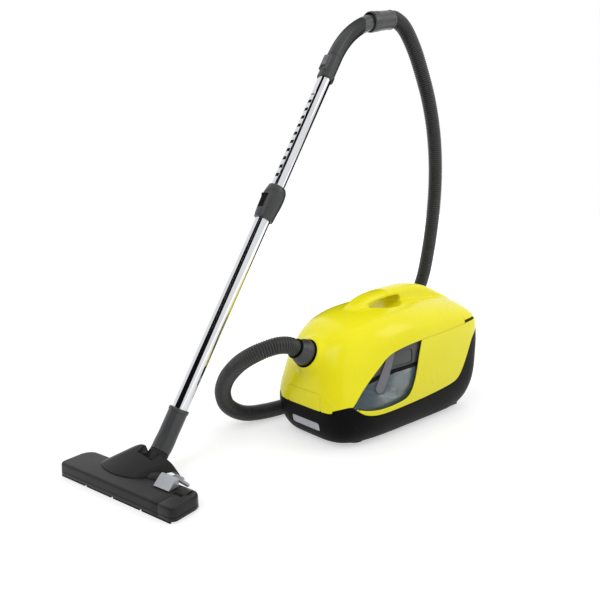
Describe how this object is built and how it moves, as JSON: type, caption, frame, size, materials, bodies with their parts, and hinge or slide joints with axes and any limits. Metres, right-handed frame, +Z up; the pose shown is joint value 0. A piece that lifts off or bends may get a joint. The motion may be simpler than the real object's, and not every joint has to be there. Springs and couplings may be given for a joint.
{
  "type": "canister vacuum cleaner",
  "caption": "Canister vacuum cleaner with a water filter tank, carry handle, foot pedals, castors, ribbed suction hose, telescopic chrome wand and hinged floor nozzle.",
  "frame": {"origin": "on the floor, under the middle of the box round everything but the hose", "axes": "+Z up, +Y towards the rear of the canister, where the mains cord leaves through its gland; -Y towards the floor nozzle; +X to the right seen from behind"},
  "size_m": [0.3708, 1.122, 1.0489],
  "materials": {
    "yellow_shell": "glossy moulded plastic",
    "black_shell": "fine textured plastic",
    "dark_grey_plastic": "satin moulded plastic",
    "mid_grey_plastic": "satin moulded plastic",
    "silver_plastic": "silver lacquered plastic",
    "chrome_tube": "bright chrome",
    "steel": "bright steel",
    "clear_tank": "blue-grey translucent plastic",
    "hose_rubber": "ribbed soft plastic",
    "tyre_rubber": "soft rubber",
    "filter_orange": "filter frame plastic",
    "filter_paper": "pleated filter paper",
    "filter_foam": "filter cassette",
    "motor_metal": "painted",
    "bristle": "bristle strip"
  },
  "bodies": {
    "root": {"base": "black_shell", "base_wells": "black_shell", "side_panels": "yellow_shell", "hood": "yellow_shell", "front_plate": "silver_plastic", "lid_pin": "dark_grey_plastic", "switch_blocks": "dark_grey_plastic", "rear_shelf": "dark_grey_plastic", "rear_grille": "black_shell", "cord_gland": "black_shell", "water_tank": "clear_tank", "tank_lid": "dark_grey_plastic", "tank_clips": "mid_grey_plastic", "filter_frame": "filter_orange", "filter_pleats": "filter_paper", "motor_can": "motor_metal", "reel_spindle": "steel", "exhaust_filter": "filter_foam", "castor_sockets": "dark_grey_plastic", "rear_axle": "steel", "inlet_collar": "black_shell", "hose": "hose_rubber", "hose_cuff": "black_shell", "casing_screws": "steel"},
    "front_flap": {"front_flap": "yellow_shell"},
    "filter_lid": {"filter_lid": "yellow_shell"},
    "power_pedal": {"power_pedal": "yellow_shell"},
    "rewind_pedal": {"rewind_pedal": "yellow_shell"},
    "fan": {"fan": "steel"},
    "cord_reel": {"cord_reel": "dark_grey_plastic"},
    "castor_left": {"castor_left": "black_shell"},
    "castor_right": {"castor_right": "black_shell"},
    "castor_wheel_left": {"castor_wheel_left": "tyre_rubber"},
    "castor_wheel_right": {"castor_wheel_right": "tyre_rubber"},
    "rear_wheel_left": {"rear_wheel_left": "tyre_rubber"},
    "rear_wheel_right": {"rear_wheel_right": "tyre_rubber"},
    "hose_connector": {"hose_connector": "dark_grey_plastic"},
    "wand": {"grip": "dark_grey_plastic", "grip_bow": "dark_grey_plastic", "upper_tube": "chrome_tube"},
    "air_slider": {"air_slider": "mid_grey_plastic"},
    "lower_wand": {"lower_tube": "chrome_tube", "wand_collar": "black_shell", "nozzle_neck": "dark_grey_plastic"},
    "lock_button": {"lock_button": "mid_grey_plastic"},
    "elbow": {"nozzle_elbow": "dark_grey_plastic"},
    "nozzle": {"nozzle_body": "dark_grey_plastic", "nozzle_cover": "dark_grey_plastic", "sole_plate": "chrome_tube"},
    "nozzle_pedal": {"nozzle_pedal": "silver_plastic"},
    "brush_strips": {"brush_strips": "bristle"},
    "nozzle_rollers": {"nozzle_rollers": "tyre_rubber"}
  },
  "joints": [
    {"name": "power_pedal_press", "type": "slide", "parent": "root", "child": "power_pedal", "axis": [0, 0, -1], "range_m": [0, 0.005], "stiffness_N_per_m": 900, "springref_m": -0.002},
    {"name": "rewind_pedal_press", "type": "slide", "parent": "root", "child": "rewind_pedal", "axis": [0, 0, -1], "range_m": [0, 0.005], "stiffness_N_per_m": 900, "springref_m": -0.002},
    {"name": "filter_lid_hinge", "type": "hinge", "parent": "root", "child": "filter_lid", "pos_m": [0.04088, 0.50276, 0.2585], "axis": [-1, 0, 0], "range_deg": [0, 80]},
    {"name": "front_flap_hinge", "type": "hinge", "parent": "root", "child": "front_flap", "pos_m": [0.04088, -0.01624, 0.088], "axis": [1, 0, 0], "range_deg": [0, 30]},
    {"name": "hose_connector_turn", "type": "hinge", "parent": "root", "child": "hose_connector", "pos_m": [0.04088, -0.00424, 0.212], "axis": [0, -0.8829, 0.4695], "continuous": true},
    {"name": "castor_swivel_left", "type": "hinge", "parent": "root", "child": "castor_left", "pos_m": [-0.03512, 0.06976, 0.04], "axis": [0, 0, 1], "continuous": true},
    {"name": "castor_roll_left", "type": "hinge", "parent": "castor_left", "child": "castor_wheel_left", "pos_m": [-0.03512, 0.07776, 0.014], "axis": [1, 0, 0], "continuous": true},
    {"name": "rear_wheel_roll_left", "type": "hinge", "parent": "root", "child": "rear_wheel_left", "pos_m": [-0.05112, 0.42176, 0.035], "axis": [1, 0, 0], "continuous": true},
    {"name": "castor_swivel_right", "type": "hinge", "parent": "root", "child": "castor_right", "pos_m": [0.11688, 0.06976, 0.04], "axis": [0, 0, 1], "continuous": true},
    {"name": "castor_roll_right", "type": "hinge", "parent": "castor_right", "child": "castor_wheel_right", "pos_m": [0.11688, 0.07776, 0.014], "axis": [1, 0, 0], "continuous": true},
    {"name": "rear_wheel_roll_right", "type": "hinge", "parent": "root", "child": "rear_wheel_right", "pos_m": [0.13288, 0.42176, 0.035], "axis": [1, 0, 0], "continuous": true},
    {"name": "fan_spin", "type": "hinge", "parent": "root", "child": "fan", "pos_m": [0.04088, 0.36176, 0.066], "axis": [0, 0, 1], "continuous": true},
    {"name": "cord_reel_spin", "type": "hinge", "parent": "root", "child": "cord_reel", "pos_m": [0.04088, 0.46776, 0.134], "axis": [0, 1, 0], "continuous": true},
    {"name": "wand_swivel", "type": "hinge", "parent": "root", "child": "wand", "pos_m": [-0.03512, 0.29602, 1.0102], "axis": [0, 0.9703, 0.2419], "continuous": true},
    {"name": "air_slide", "type": "slide", "parent": "wand", "child": "air_slider", "axis": [0, -0.509, -0.8607], "range_m": [0, 0.008]},
    {"name": "wand_telescope", "type": "slide", "parent": "wand", "child": "lower_wand", "axis": [0, 0.509, 0.8607], "range_m": [0, 0.266]},
    {"name": "lock_press", "type": "slide", "parent": "lower_wand", "child": "lock_button", "axis": [0, 0.509, 0.8607], "range_m": [0, 0.008], "stiffness_N_per_m": 300, "springref_m": -0.002},
    {"name": "nozzle_twist", "type": "hinge", "parent": "lower_wand", "child": "elbow", "pos_m": [-0.03512, -0.34724, 0.06], "axis": [-0.1618, 0.701, 0.6946], "range_deg": [-45, 45]},
    {"name": "nozzle_tilt", "type": "hinge", "parent": "elbow", "child": "nozzle", "pos_m": [-0.0286, -0.3755, 0.032], "axis": [0.9744, 0.225, 0], "range_deg": [-25, 25]},
    {"name": "brush_pedal_rock", "type": "hinge", "parent": "nozzle", "child": "nozzle_pedal", "pos_m": [0.07799, -0.41042, 0.026], "axis": [0.9744, 0.225, 0], "range_deg": [0, 7]},
    {"name": "brush_lift", "type": "slide", "parent": "nozzle", "child": "brush_strips", "axis": [0, 0, 1], "range_m": [0, 0.004]},
    {"name": "roller_roll", "type": "hinge", "parent": "nozzle", "child": "nozzle_rollers", "pos_m": [-0.01668, -0.42714, 0.007], "axis": [0.9744, 0.225, 0], "continuous": true}
  ],
  "couplings": [
    {"joint": "brush_lift", "follows": "brush_pedal_rock", "m_per_rad": 0.032708}
  ]
}
